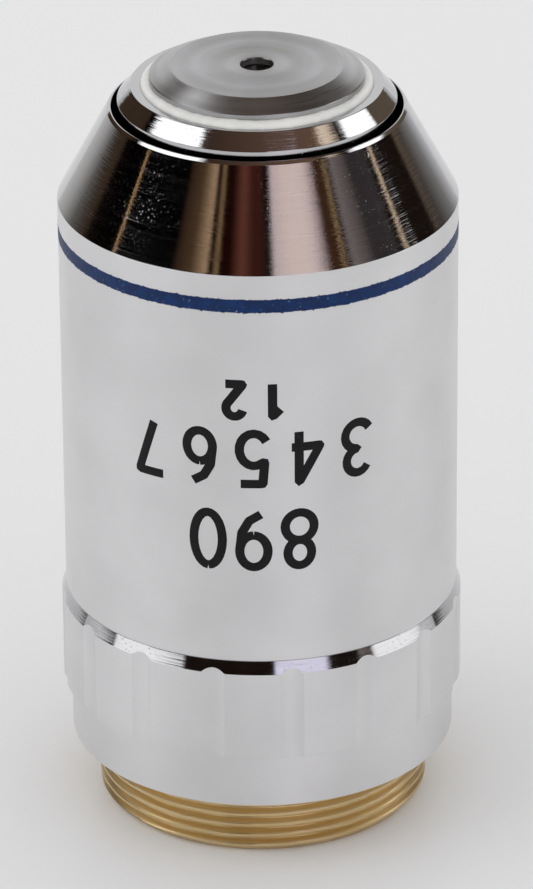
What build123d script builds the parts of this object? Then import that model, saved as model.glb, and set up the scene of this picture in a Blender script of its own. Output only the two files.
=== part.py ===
from build123d import *
import math
import os

# Microscope objective: dry, high power, with a spring-loaded nose. Millimetres and degrees.
# The origin is the centre of the mounting shoulder. +Z runs along the optical axis to the tip.

# Clearances
seat_gap = 0.02
running_gap = 0.05
cement_gap = 0.01
edge_break = 0.06

# Mount body: thread, plain ring, fluted grip and spigot
thread_radius = 10.13
thread_length = 4.2
thread_end_chamfer = 0.36
plain_ring_height = 3.5
grip_overhang = 0.26
grip_step = 0.5
grip_height = 6.48
grip_chamfer_height = 0.78
flute_count = 16
flute_cutter_radius = 2.4
flute_depth = 0.13
flute_phase = 8.5
spigot_height = 6.0
spigot_wall = 1.26
rear_recess_radius = 8.7
rear_recess_depth = 6.7
web_thickness = 1.5
web_clearance = 0.6

# Grub screws that lock the sleeve in the spigot
lock_screw_count = 3
lock_screw_radius = 0.7
lock_screw_phase = 30
lock_screw_slot_width = 0.25
lock_screw_slot_depth = 0.4

# Outer shell: barrel and cone
barrel_radius = 12.0
barrel_length = 25.32
shell_wall = 1.2
cone_height = 5.85
cone_wall = 1.1
rim_land = 0.24
rim_chamfer = 0.17
colour_ring_width = 0.77
colour_ring_drop = 1.54
colour_groove_depth = 0.15
paint_recess = 0.02

# Nose ring and the sealant inside it
nose_wall = 1.03
nose_gap = 0.37
nose_stand_out = 0.41
nose_bevel_height = 0.94
nose_bevel_width = 0.815
nose_land_width = 0.615
nose_cap_thickness = 1.5
nose_skirt_length = 3.3
sealant_width = 0.48
sealant_drop = 0.03
sealant_climb = 0.27
sealant_crown = 0.07

# Front cell
cell_stand_out = 1.17
cell_bevel_width = 1.27
cell_bevel_height = 0.58
cell_wall = 0.97
cell_body_length = 3.15
light_hole_radius = 0.987
light_hole_depth = 0.45

# Glass. A surface's radius of curvature is the edge radius of its lens plus an excess,
# and each lens has its least thickness at the edge or the centre, whichever is thinner.
front_lens_radius = 1.75
front_lens_excess = 0.15
front_lens_least = 0.94
front_air_gap = 0.47
meniscus_cell_wall = 1.01
meniscus_front_excess = 12.4
meniscus_back_excess = 1.9
meniscus_least = 1.3
front_doublet_wall = 1.06
front_doublet_front_excess = 9.1
front_doublet_cement_excess = 4.1
front_doublet_back_excess = 35.0
front_crown_least = 1.5
front_flint_least = 1.4
middle_doublet_wall = 1.66
middle_doublet_front_excess = 9.7
middle_doublet_cement_excess = 4.7
middle_doublet_back_excess = 25.7
middle_crown_least = 1.5
middle_flint_least = 1.3
field_wall = 2.56
field_front_excess = 8.6
field_cement_excess = 7.6
field_back_excess = 20.6
field_negative_least = 1.1
field_meniscus_least = 1.54

# Cells, spacers, stop and lock ring of the lens stack
lens_recess = 0.5
ledge_width = 0.6
ledge_thickness = 1.1
meniscus_ledge_thickness = 0.4
spacer_wall = 1.0
front_spacer_length = 1.5
aperture_stop_thickness = 0.4
aperture_radius = 2.6
lock_ring_thickness = 1.4
lock_ring_recess = 0.2
lock_ring_hole_radius = 3.0
spanner_slot_width = 1.0
spanner_slot_depth = 0.7

# Lens barrel, the tube that slides
tube_wall = 1.3
tube_front_wall = 1.66
tube_rear_height = 1.5
tube_web_thickness = 0.8
tube_web_width = 0.6
collar_length = 6.0
retraction = 2.0

# Sleeve, parfocal ring, stop ring and return spring
sleeve_wall = 0.8
sleeve_flange_thickness = 1.5
sleeve_top_margin = 0.5
parfocal_ring_thickness = 1.0
stop_ring_thickness = 2.0
stop_ring_clearance = 0.3
spring_length = 12.0
spring_wire = 0.8
spring_clearance = 0.3
spring_turns = 5.5

# Guide screw and the keyway that its point rides in
screw_head_radius = 1.25
screw_head_height = 0.7
screw_shank_radius = 0.8
screw_point_radius = 0.6
screw_point_reach = 0.85
screw_slot_width = 0.3
screw_slot_depth = 0.3
keyway_floor_gap = 0.15

# Radii, from the barrel inwards
shell_bore = barrel_radius - shell_wall
spigot_radius = shell_bore - seat_gap
sleeve_radius = spigot_radius - spigot_wall - seat_gap
sleeve_bore = sleeve_radius - sleeve_wall
collar_radius = sleeve_bore - running_gap
tube_radius = sleeve_bore - spring_wire - 2 * spring_clearance
tube_bore = tube_radius - tube_wall
web_bore = tube_radius + web_clearance
grip_radius = barrel_radius + grip_overhang
plain_ring_radius = grip_radius - grip_step
nose_radius = tube_radius + nose_wall
nose_bevel_radius = nose_radius - nose_bevel_width
nose_land_radius = nose_bevel_radius - nose_land_width
rim_bore = nose_radius + nose_gap
rim_radius = rim_bore + rim_land
flange_radius = nose_land_radius - sealant_width
cell_face_radius = flange_radius - cell_bevel_width
cell_radius = tube_radius - tube_front_wall - seat_gap
cell_bore = cell_radius - cell_wall
meniscus_cell_radius = cell_bore - seat_gap
meniscus_radius = meniscus_cell_radius - meniscus_cell_wall - seat_gap
stack_radius = tube_bore - seat_gap
front_doublet_radius = stack_radius - front_doublet_wall - seat_gap
middle_doublet_radius = stack_radius - middle_doublet_wall - seat_gap
field_radius = stack_radius - field_wall - seat_gap

# Heights of the fixed pieces above the shoulder
grip_top = plain_ring_height + grip_height
spigot_top = grip_top + spigot_height
lock_screw_height = (grip_top + spigot_top) / 2
cone_bottom = grip_top + barrel_length
rim_height = cone_bottom + cone_height
groove_top = cone_bottom - colour_ring_drop
groove_bottom = groove_top - colour_ring_width
web_bottom = rear_recess_depth - thread_length
web_top = web_bottom + web_thickness
sleeve_bottom = web_top + parfocal_ring_thickness
spring_bottom = sleeve_bottom + sleeve_flange_thickness
collar_bottom = spring_bottom + spring_length
collar_top = collar_bottom + collar_length
stop_ring_bottom = collar_top + seat_gap
stop_ring_top = stop_ring_bottom + stop_ring_thickness
sleeve_top = stop_ring_top + sleeve_top_margin
guide_screw_height = (collar_bottom + collar_top - retraction) / 2

# Heights of the moving pieces at rest, with the nose pushed out
nose_shoulder = rim_height + nose_stand_out
nose_top = nose_shoulder + nose_bevel_height
tip_height = nose_top + cell_stand_out
tube_top = nose_top - nose_cap_thickness
cell_bottom = tube_top - cell_body_length
tube_web_top = cell_bottom - running_gap
stack_top = tube_web_top - tube_web_thickness
stack_bottom = tube_rear_height + lock_ring_recess


def turned(*corners):
    """A solid turned about Z from the corners of its half section, each (radius, height)."""
    outline = Polyline(*corners, close=True)
    return revolve(Plane.XZ * make_face(outline), Axis.Z)


def ring(outer, inner, bottom, top):
    """A plain turned ring."""
    return turned((inner, bottom), (outer, bottom), (outer, top), (inner, top))


def radial_pin(radius, start, end, height):
    """A cylinder that points from the axis towards +X, between two distances."""
    pin = Cylinder(radius, end - start, align=(Align.CENTER, Align.CENTER, Align.MIN))
    return Pos(start, 0, height) * Rot(0, 90, 0) * pin


def cross_slot(radius, width, depth, face):
    """A cutter for a slot right across a round face at a height, open above and below."""
    return Pos(0, 0, face) * Box(4 * radius, width, 2 * depth)


def drop(curve, radius):
    """How far a lens surface has fallen below its vertex. A curve of 0 is flat."""
    if curve == 0:
        return 0
    return math.copysign(abs(curve) - math.sqrt(curve**2 - radius**2), curve)


def meridian(vertex, curve, edge):
    """Half the section of a lens surface, from the axis to the edge."""
    start = (0, vertex)
    end = (edge, vertex - drop(curve, edge))
    if curve == 0:
        return Line(start, end)
    return ThreePointArc(start, (edge / 2, vertex - drop(curve, edge / 2)), end)


class Lens:
    """A glass element. A positive curve has its centre behind the surface, below it."""

    def __init__(self, edge, front, back, least):
        self.edge = edge
        self.front = front
        self.back = back
        self.thickness = least + max(0, drop(front, edge) - drop(back, edge))

    def solid(self, vertex):
        """The element with its front vertex at a height."""
        front = meridian(vertex, self.front, self.edge)
        back = meridian(vertex - self.thickness, self.back, self.edge)
        outline = [front, Line(front @ 1, back @ 1), back, Line(back @ 0, front @ 0)]
        return revolve(Plane.XZ * make_face(outline), Axis.Z)

    def ledge_drop(self):
        """How far below the back vertex a flat ledge meets the glass."""
        inner = self.edge - ledge_width
        return max(drop(self.back, self.edge), drop(self.back, inner)) + seat_gap

    def front_rise(self):
        """How far the glass stands above its front vertex."""
        return max(0, -drop(self.front, self.edge))


def doublet(edge, front_excess, cement_excess, back_excess, crown_least, flint_least):
    """A cemented pair: a crown that bulges both ways and a flint behind it."""
    cement_curve = -(edge + cement_excess)
    crown = Lens(edge, edge + front_excess, cement_curve, crown_least)
    flint = Lens(edge, cement_curve, -(edge + back_excess), flint_least)
    return crown, flint


# The glass elements
front_glass = Lens(front_lens_radius, 0, -(front_lens_radius + front_lens_excess), front_lens_least)
meniscus_glass = Lens(
    meniscus_radius,
    -(meniscus_radius + meniscus_front_excess),
    -(meniscus_radius + meniscus_back_excess),
    meniscus_least,
)
front_crown, front_flint = doublet(
    front_doublet_radius,
    front_doublet_front_excess,
    front_doublet_cement_excess,
    front_doublet_back_excess,
    front_crown_least,
    front_flint_least,
)
middle_crown, middle_flint = doublet(
    middle_doublet_radius,
    middle_doublet_front_excess,
    middle_doublet_cement_excess,
    middle_doublet_back_excess,
    middle_crown_least,
    middle_flint_least,
)
field_negative = Lens(
    field_radius,
    -(field_radius + field_front_excess),
    field_radius + field_cement_excess,
    field_negative_least,
)
field_meniscus = Lens(
    field_radius,
    field_radius + field_cement_excess,
    field_radius + field_back_excess,
    field_meniscus_least,
)

# Places of the front lens and the meniscus, from the tip downwards
front_lens_top = tip_height - light_hole_depth
front_lens_bottom = front_lens_top - front_glass.thickness
front_lens_edge_bottom = front_lens_bottom - drop(front_glass.back, front_lens_radius)
meniscus_top = front_lens_bottom - front_air_gap
meniscus_ledge = meniscus_top + meniscus_glass.front_rise() + seat_gap
meniscus_cell_top = meniscus_ledge + meniscus_ledge_thickness

# Places in the stack, from the web of the lens barrel downwards
front_crown_top = stack_top - lens_recess
front_flint_top = front_crown_top - front_crown.thickness - cement_gap
front_ledge = front_flint_top - front_flint.thickness - front_flint.ledge_drop()
front_spacer_top = front_ledge - ledge_thickness
middle_cell_top = front_spacer_top - front_spacer_length
middle_crown_top = middle_cell_top - lens_recess
middle_flint_top = middle_crown_top - middle_crown.thickness - cement_gap
middle_ledge = middle_flint_top - middle_flint.thickness - middle_flint.ledge_drop()
aperture_stop_top = middle_ledge - ledge_thickness
long_spacer_top = aperture_stop_top - aperture_stop_thickness

# Places in the stack, from the lock ring upwards
field_cell_bottom = stack_bottom + lock_ring_thickness
field_ledge = field_cell_bottom + ledge_thickness
field_meniscus_bottom = field_ledge + field_meniscus.ledge_drop()
field_meniscus_top = field_meniscus_bottom + field_meniscus.thickness
field_negative_bottom = field_meniscus_top + cement_gap
field_negative_top = field_negative_bottom + field_negative.thickness
field_cell_top = field_negative_top + field_negative.front_rise() + lens_recess


def mount_body():
    """Thread, shoulder, plain ring, fluted grip and spigot, turned from one brass bar."""
    sleeve_seat = sleeve_radius + seat_gap
    body = turned(
        (rear_recess_radius, -thread_length),
        (thread_radius - thread_end_chamfer, -thread_length),
        (thread_radius, thread_end_chamfer - thread_length),
        (thread_radius, 0),
        (plain_ring_radius - edge_break, 0),
        (plain_ring_radius, edge_break),
        (plain_ring_radius, plain_ring_height),
        (grip_radius, plain_ring_height),
        (grip_radius, grip_top - grip_chamfer_height),
        (barrel_radius - edge_break, grip_top),
        (spigot_radius, grip_top),
        (spigot_radius, spigot_top),
        (sleeve_seat, spigot_top),
        (sleeve_seat, web_top),
        (web_bore, web_top),
        (web_bore, web_bottom),
        (rear_recess_radius, web_bottom),
    )
    cutter = Cylinder(
        flute_cutter_radius, grip_height, align=(Align.CENTER, Align.CENTER, Align.MIN)
    )
    cutter_place = grip_radius - flute_depth + flute_cutter_radius
    for turn in range(flute_count):
        angle = flute_phase - 90 + turn * 360 / flute_count
        body -= Rot(0, 0, angle) * Pos(cutter_place, 0, plain_ring_height) * cutter
    for turn in lock_screw_turns():
        hole_radius = lock_screw_radius + seat_gap
        body -= turn * radial_pin(hole_radius, web_bore, barrel_radius, lock_screw_height)
    return body


def lock_screw_turns():
    """Turns about the axis to the places of the grub screws, evenly spaced."""
    step = 360 / lock_screw_count
    return [Rot(0, 0, lock_screw_phase + number * step) for number in range(lock_screw_count)]


def sleeve_lock_screws():
    """Slotted grub screws in the spigot that press on the sleeve."""
    start = sleeve_radius + seat_gap
    end = spigot_radius - 2 * seat_gap
    slot = cross_slot(lock_screw_radius, lock_screw_slot_width, lock_screw_slot_depth, end)
    screw = radial_pin(lock_screw_radius, start, end, 0) - Rot(0, 90, 0) * slot
    place = Pos(0, 0, lock_screw_height)
    return Compound(children=[turn * place * screw for turn in lock_screw_turns()])


def outer_shell():
    """Barrel and cone, one turned piece, with the groove for the coloured ring."""
    cone_width = barrel_radius - rim_radius
    slope = cone_height / cone_width
    wall_drop = cone_wall * math.hypot(cone_width, cone_height) / cone_width
    return turned(
        (shell_bore, grip_top),
        (barrel_radius - edge_break, grip_top),
        (barrel_radius, grip_top + edge_break),
        (barrel_radius, groove_bottom),
        (barrel_radius - colour_groove_depth, groove_bottom),
        (barrel_radius - colour_groove_depth, groove_top),
        (barrel_radius, groove_top),
        (barrel_radius, cone_bottom),
        (rim_radius, rim_height - rim_chamfer),
        (rim_radius - rim_chamfer, rim_height),
        (rim_bore, rim_height),
        (rim_bore, cone_bottom + (barrel_radius - rim_bore) * slope - wall_drop),
        (shell_bore, cone_bottom + shell_wall * slope - wall_drop),
    )


def colour_ring():
    """The coloured band: paint that fills the groove of the shell."""
    outer = barrel_radius - paint_recess
    return ring(outer, barrel_radius - colour_groove_depth, groove_bottom, groove_top)


def guide_sleeve():
    """Fixed tube that the lens barrel slides in, with a flange that carries the spring."""
    flange_bore = tube_radius + running_gap
    sleeve = turned(
        (flange_bore, sleeve_bottom),
        (sleeve_radius, sleeve_bottom),
        (sleeve_radius, sleeve_top),
        (sleeve_bore, sleeve_top),
        (sleeve_bore, spring_bottom),
        (flange_bore, spring_bottom),
    )
    hole = radial_pin(screw_shank_radius + seat_gap, tube_radius, barrel_radius, guide_screw_height)
    return sleeve - Rot(0, 0, 90) * hole


def parfocal_ring():
    """Shim under the sleeve that sets the distance from the shoulder to the tip."""
    return ring(sleeve_radius, web_bore, web_top, sleeve_bottom)


def stop_ring():
    """Threaded ring that stops the collar when the nose is out, with spanner slots on top."""
    outer = sleeve_bore - seat_gap
    inner = tube_radius + stop_ring_clearance
    body = ring(outer, inner, stop_ring_bottom, stop_ring_top)
    return body - cross_slot(outer, spanner_slot_width, spanner_slot_depth, stop_ring_top)


def guide_screw():
    """Screw through the sleeve whose plain point rides in the keyway of the collar."""
    head_bottom = sleeve_radius + seat_gap
    head_top = head_bottom + screw_head_height
    screw = turned(
        (0, sleeve_bore - screw_point_reach),
        (screw_point_radius, sleeve_bore - screw_point_reach),
        (screw_point_radius, collar_radius),
        (screw_shank_radius, sleeve_bore),
        (screw_shank_radius, head_bottom),
        (screw_head_radius, head_bottom),
        (screw_head_radius, head_top),
        (0, head_top),
    )
    screw -= cross_slot(screw_head_radius, screw_slot_width, screw_slot_depth, head_top)
    return Pos(0, 0, guide_screw_height) * Rot(-90, 0, 0) * screw


def return_spring():
    """Square-wire compression spring between the flange of the sleeve and the collar."""
    middle = tube_radius + spring_clearance + spring_wire / 2
    rise = spring_length - spring_wire - 2 * seat_gap
    start = spring_bottom + seat_gap + spring_wire / 2
    coil = Helix(pitch=rise / spring_turns, height=rise, radius=middle, center=(0, 0, start))
    section = Plane(origin=coil @ 0, z_dir=coil % 0) * Rectangle(spring_wire, spring_wire)
    return sweep(section, path=coil, is_frenet=True)


def lens_barrel():
    """Sliding tube that holds every lens, with the collar that the spring pushes."""
    web_bore_radius = meniscus_cell_radius - tube_web_width
    tube = turned(
        (tube_bore, tube_rear_height),
        (tube_radius, tube_rear_height),
        (tube_radius, collar_bottom),
        (collar_radius, collar_bottom),
        (collar_radius, collar_top),
        (tube_radius, collar_top),
        (tube_radius, tube_top),
        (cell_radius + seat_gap, tube_top),
        (cell_radius + seat_gap, tube_web_top),
        (web_bore_radius, tube_web_top),
        (web_bore_radius, stack_top),
        (tube_bore, stack_top),
    )
    floor_radius = sleeve_bore - screw_point_reach - keyway_floor_gap
    keyway_width = 2 * (screw_point_radius + running_gap)
    keyway = Box(keyway_width, 2 * (collar_radius - floor_radius), 2 * collar_length)
    return tube - Pos(0, collar_radius, (collar_bottom + collar_top) / 2) * keyway


def nose_ring():
    """Cap ring on the front of the lens barrel, with a polished bevel."""
    bore = tube_radius + seat_gap
    return turned(
        (bore, nose_shoulder - nose_skirt_length),
        (nose_radius, nose_shoulder - nose_skirt_length),
        (nose_radius, nose_shoulder),
        (nose_bevel_radius, nose_top),
        (nose_land_radius, nose_top),
        (nose_land_radius, tube_top),
        (bore, tube_top),
    )


def sealant_ring():
    """Bead of sealing compound between the nose ring and the front cell, which it climbs."""
    inner = flange_radius + seat_gap
    outer = nose_land_radius - seat_gap
    low = nose_top - sealant_drop
    high = nose_top + sealant_climb
    middle = ((inner + outer) / 2, (low + high) / 2 + sealant_crown)
    sides = Polyline((inner, high), (inner, tube_top), (outer, tube_top), (outer, low))
    crown = ThreePointArc((outer, low), middle, (inner, high))
    return revolve(Plane.XZ * make_face([sides, crown]), Axis.Z)


def front_cell():
    """Bevelled disc with the light hole, which holds the front lens and the meniscus cell."""
    lens_bore = front_lens_radius + seat_gap
    return turned(
        (light_hole_radius, tip_height),
        (cell_face_radius, tip_height),
        (flange_radius, tip_height - cell_bevel_height),
        (flange_radius, tube_top),
        (cell_radius, tube_top),
        (cell_radius, cell_bottom),
        (cell_bore, cell_bottom),
        (cell_bore, meniscus_cell_top),
        (meniscus_radius - ledge_width, meniscus_cell_top),
        (lens_bore, front_lens_edge_bottom),
        (lens_bore, front_lens_top),
        (light_hole_radius, front_lens_top),
    )


def front_lens():
    """Nearly a half ball of glass, flat side to the light hole."""
    return front_glass.solid(front_lens_top)


def meniscus_cell():
    """Ring that holds the meniscus, clamped between the front cell and the barrel's web."""
    opening = meniscus_radius - ledge_width
    bore = meniscus_radius + seat_gap
    return turned(
        (bore, tube_web_top),
        (meniscus_cell_radius, tube_web_top),
        (meniscus_cell_radius, meniscus_cell_top),
        (opening, meniscus_cell_top),
        (opening, meniscus_ledge),
        (bore, meniscus_ledge),
    )


def meniscus_lens():
    """Deeply curved lens behind the front lens."""
    return meniscus_glass.solid(meniscus_top)


def stack_cell(edge, top, ledge):
    """A cell of the stack: a ring whose bore holds a lens group on a ledge."""
    bottom = ledge - ledge_thickness
    bore = edge + seat_gap
    opening = edge - ledge_width
    return turned(
        (opening, bottom),
        (stack_radius, bottom),
        (stack_radius, top),
        (bore, top),
        (bore, ledge),
        (opening, ledge),
    )


def rear_lock_ring():
    """Threaded ring that clamps the stack, with slots for a spanner and a hole for the light."""
    body = ring(stack_radius, lock_ring_hole_radius, stack_bottom, field_cell_bottom)
    return body - cross_slot(stack_radius, spanner_slot_width, spanner_slot_depth, stack_bottom)


nodes = {
    "mount_body": mount_body(),
    "sleeve_lock_screws": sleeve_lock_screws(),
    "outer_shell": outer_shell(),
    "colour_ring": colour_ring(),
    "guide_sleeve": guide_sleeve(),
    "parfocal_ring": parfocal_ring(),
    "stop_ring": stop_ring(),
    "guide_screw": guide_screw(),
    "return_spring": return_spring(),
    "lens_barrel": lens_barrel(),
    "nose_ring": nose_ring(),
    "sealant_ring": sealant_ring(),
    "front_cell": front_cell(),
    "front_lens": front_lens(),
    "meniscus_cell": meniscus_cell(),
    "meniscus_lens": meniscus_lens(),
    "front_doublet_cell": stack_cell(front_doublet_radius, stack_top, front_ledge),
    "front_doublet_crown": front_crown.solid(front_crown_top),
    "front_doublet_flint": front_flint.solid(front_flint_top),
    "front_spacer": ring(stack_radius, stack_radius - spacer_wall, middle_cell_top, front_spacer_top),
    "middle_doublet_cell": stack_cell(middle_doublet_radius, middle_cell_top, middle_ledge),
    "middle_doublet_crown": middle_crown.solid(middle_crown_top),
    "middle_doublet_flint": middle_flint.solid(middle_flint_top),
    "aperture_stop": ring(stack_radius, aperture_radius, long_spacer_top, aperture_stop_top),
    "long_spacer": ring(stack_radius, stack_radius - spacer_wall, field_cell_top, long_spacer_top),
    "field_cell": stack_cell(field_radius, field_cell_top, field_ledge),
    "field_negative_lens": field_negative.solid(field_negative_top),
    "field_meniscus_lens": field_meniscus.solid(field_meniscus_top),
    "rear_lock_ring": rear_lock_ring(),
}

os.makedirs("parts", exist_ok=True)
for name, piece in nodes.items():
    export_step(piece, f"parts/{name}.step")

print("shoulder to tip", round(tip_height, 3), "nose travel", retraction)
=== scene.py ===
# %% [markdown]
# # A microscope objective, dressed for the studio
# The objective was turned from brass and steel: a satin barrel, a polished cone, a sprung nose and
# a bare brass thread. Its CAD model is the frame that every piece here is built around. Blender
# gives it finer metal, its finishes, and the room that the chrome mirrors.
# Lengths are in metres. The origin is the centre of the mounting shoulder, and +Z points to the tip.

# %% Load the frame
import bmesh
import bpy
import math
import numpy as np
from mathutils import Matrix, Vector


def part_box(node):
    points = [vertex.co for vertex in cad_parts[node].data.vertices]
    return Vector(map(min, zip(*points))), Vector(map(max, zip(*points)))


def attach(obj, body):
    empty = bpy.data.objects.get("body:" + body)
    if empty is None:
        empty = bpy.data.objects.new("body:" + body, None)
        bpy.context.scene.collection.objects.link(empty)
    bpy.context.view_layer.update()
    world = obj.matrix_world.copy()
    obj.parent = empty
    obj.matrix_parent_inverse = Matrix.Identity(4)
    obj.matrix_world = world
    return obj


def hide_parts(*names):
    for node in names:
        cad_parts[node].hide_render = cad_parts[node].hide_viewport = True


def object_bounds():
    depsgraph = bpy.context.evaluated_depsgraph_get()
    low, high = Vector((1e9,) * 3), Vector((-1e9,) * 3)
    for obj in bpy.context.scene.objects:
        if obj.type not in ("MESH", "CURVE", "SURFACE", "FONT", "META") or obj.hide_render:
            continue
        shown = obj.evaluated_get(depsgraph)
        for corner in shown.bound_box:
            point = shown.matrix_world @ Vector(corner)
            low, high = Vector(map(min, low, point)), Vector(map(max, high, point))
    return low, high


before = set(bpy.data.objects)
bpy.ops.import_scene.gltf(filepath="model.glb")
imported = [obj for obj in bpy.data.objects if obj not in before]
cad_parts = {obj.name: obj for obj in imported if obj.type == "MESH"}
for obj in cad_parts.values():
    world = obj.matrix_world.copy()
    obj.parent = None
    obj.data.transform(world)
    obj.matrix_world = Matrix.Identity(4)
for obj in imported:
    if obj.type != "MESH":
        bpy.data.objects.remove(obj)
cad_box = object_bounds()
MM = 0.001
print("nodes in the frame:", len(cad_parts))

# %% [markdown]
# ## Helpers for every finish and piece
# A finish is a small tree of nodes. One function adds a node with its settings and links, another
# turns the hex colours that we read on a screen into the linear light that Blender mixes.
# A third starts a material with its shader and the coordinates that its pattern follows, and a
# fourth puts a mesh, a curve, a lamp or the camera into the scene.

# %% Node, colour and object helpers
MATH, VECTOR, MAP_RANGE = "ShaderNodeMath", "ShaderNodeVectorMath", "ShaderNodeMapRange"


def add_node(tree, kind, inputs=(), **settings):
    """Adds a node. Inputs are values or sockets, by name or number; settings are its properties."""
    node = tree.nodes.new(kind)
    for name, value in settings.items():
        setattr(node, name, value)
    for key, value in dict(inputs).items():
        if isinstance(value, bpy.types.NodeSocket):
            tree.links.new(value, node.inputs[key])
        else:
            node.inputs[key].default_value = value
    return node


def colour(hex_code):
    """Linear RGBA of an sRGB hex colour."""
    channels = [int(hex_code[place:place + 2], 16) / 255 for place in (1, 3, 5)]
    linear = [c / 12.92 if c <= 0.04045 else ((c + 0.055) / 1.055) ** 2.4 for c in channels]
    return (*linear, 1.0)


def new_finish(name, **look):
    """A material with one Principled shader. Look gives the shader's constant inputs."""
    material = bpy.data.materials.new(name)
    material.use_nodes = True
    tree = material.node_tree
    tree.nodes.clear()
    shader = add_node(tree, "ShaderNodeBsdfPrincipled")
    for key, value in look.items():
        shader.inputs[key.replace("_", " ")].default_value = value
    add_node(tree, "ShaderNodeOutputMaterial", {"Surface": shader.outputs[0]})
    place = add_node(tree, "ShaderNodeTexCoord").outputs["Object"]
    return material, tree, shader, place


def new_object(name, data):
    """An object in the scene for some data."""
    made = bpy.data.objects.new(name, data)
    bpy.context.scene.collection.objects.link(made)
    return made


print("helpers ready")

# %% [markdown]
# ## Turning marks
# A lathe leaves fine rings round the work. On a screen they are lines of equal height on a
# cylinder and rings of equal radius on a disc. Noise that changes quickly with height minus radius
# and slowly round the axis draws both, and the cone's too, with no seam anywhere.

# %% Turning marks
def about_axis(tree, spot):
    """The parts of a position, its flat part and its distance from the Z axis."""
    parts = add_node(tree, "ShaderNodeSeparateXYZ", {0: spot}).outputs
    flat = add_node(tree, "ShaderNodeCombineXYZ", {0: parts[0], 1: parts[1]}).outputs[0]
    radius = add_node(tree, VECTOR, {0: flat}, operation="LENGTH").outputs["Value"]
    return parts, flat, radius


def turning_marks(tree, place, spacing, reach, detail=3.0):
    """Noise stretched into rings: spacing is between marks, reach is along one mark, in metres."""
    parts, flat, radius = about_axis(tree, place)
    travel = add_node(tree, MATH, {0: parts[2], 1: radius}, operation="SUBTRACT")
    across = add_node(tree, MATH, {0: travel.outputs[0], 1: 1 / spacing}, operation="MULTIPLY")
    along = add_node(tree, VECTOR, {0: flat, "Scale": 1 / reach}, operation="SCALE")
    along_parts = add_node(tree, "ShaderNodeSeparateXYZ", {0: along.outputs[0]}).outputs
    spread = add_node(
        tree, "ShaderNodeCombineXYZ", {0: along_parts[0], 1: along_parts[1], 2: across.outputs[0]}
    )
    return add_node(
        tree, "ShaderNodeTexNoise", {"Vector": spread.outputs[0], "Scale": 1.0, "Detail": detail}
    ).outputs["Fac"]


def spread_value(tree, value, low, high, start=0.3, end=0.7):
    """A noise value carried from its usual range to low and high."""
    return add_node(tree, MAP_RANGE, {0: value, 1: start, 2: end, 3: low, 4: high}).outputs[0]


def add_bump(tree, shader, height, distance, strength=1.0):
    """Joins a height to the shader's normal, as relief of a real depth in metres."""
    bump = add_node(tree, "ShaderNodeBump", {"Strength": strength, "Distance": distance, "Height": height})
    tree.links.new(bump.outputs[0], shader.inputs["Normal"])


def brush_round(tree, shader):
    """Lets the streaks of a metal run round the axis."""
    tangent = add_node(tree, "ShaderNodeTangent", direction_type="RADIAL", axis="Z")
    tree.links.new(tangent.outputs[0], shader.inputs["Tangent"])
    shader.inputs["Anisotropic Rotation"].default_value = 0.25


print("turning marks ready")

# %% [markdown]
# ## Satin chrome
# The barrel and the grip were blasted or brushed before plating, so the chrome is pearly. It
# carries no sharp picture of the room, only the pale table, drawn out along the axis by the
# faint rings that the lathe left.

# %% Satin chrome
def satin_chrome():
    """Chrome over a finely brushed ground: a pale, even grey with soft highlights."""
    material, tree, shader, place = new_finish("satin_chrome_plate", Metallic=1.0, Anisotropic=0.35)
    marks = turning_marks(tree, place, 0.07 * MM, 9 * MM)
    cloud = add_node(tree, "ShaderNodeTexNoise", {"Vector": place, "Scale": 160.0, "Detail": 2.0})
    tone = add_node(
        tree,
        "ShaderNodeMix",
        {0: spread_value(tree, cloud.outputs["Fac"], 0, 1), 6: colour("#DDDDDE"), 7: colour("#E6E6E7")},
        data_type="RGBA",
    )
    tree.links.new(tone.outputs[2], shader.inputs["Base Color"])
    tree.links.new(spread_value(tree, marks, 0.3, 0.37), shader.inputs["Roughness"])
    brush_round(tree, shader)
    add_bump(tree, shader, marks, 0.0006 * MM, 0.5)
    return material


satin = satin_chrome()
print("made", satin.name)

# %% [markdown]
# ## Polished chrome
# The cone, the nose bevel and the grip's chamfer were left as the tool cut them and plated bright.
# They are mirrors with very fine rings. Where a dark thing stands next to a bright one in the
# room, the rings fray the edge between the two and let threads of light run along the metal.

# %% Polished chrome
def polished_chrome(name, ring_depth):
    """Bright chrome over turned metal: a dark mirror whose reflections fray along the rings."""
    material, tree, shader, place = new_finish(name, Metallic=1.0, Anisotropic=0.75)
    shader.inputs["Base Color"].default_value = colour("#C7C7C9")
    rings = turning_marks(tree, place, 0.15 * MM, 11 * MM, detail=3.0)
    # Dust grains of a tenth of a millimetre, crowded where a hand has been
    specks = add_node(tree, "ShaderNodeTexNoise", {"Vector": place, "Scale": 7000.0, "Detail": 1.0})
    handled = add_node(tree, "ShaderNodeTexNoise", {"Vector": place, "Scale": 190.0, "Detail": 2.0})
    grains = spread_value(tree, specks.outputs["Fac"], 0, 1, 0.64, 0.74)
    crowd = spread_value(tree, handled.outputs["Fac"], 0, 0.3, 0.46, 0.66)
    dust = add_node(tree, MATH, {0: grains, 1: crowd}, operation="MULTIPLY").outputs[0]
    rough = add_node(tree, MATH, {0: spread_value(tree, rings, 0.04, 0.11), 1: dust}, operation="ADD")
    tree.links.new(rough.outputs[0], shader.inputs["Roughness"])
    brush_round(tree, shader)
    add_bump(tree, shader, rings, ring_depth)
    return material


mirror = polished_chrome("polished_chrome_cone", 0.009 * MM)
bevel_mirror = polished_chrome("polished_chrome_bevel", 0.005 * MM)
print("made", mirror.name, bevel_mirror.name)

# %% [markdown]
# ## Steel, brass, paint, sealant and glass
# The front cell is hardened steel, faced flat and left matte. Brass shows bare on the thread and
# on the sleeves inside. The ring of colour is enamel, the sealing compound is a white resin, and the
# lens cells and stops are blackened so that they reflect no stray light.

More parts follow.
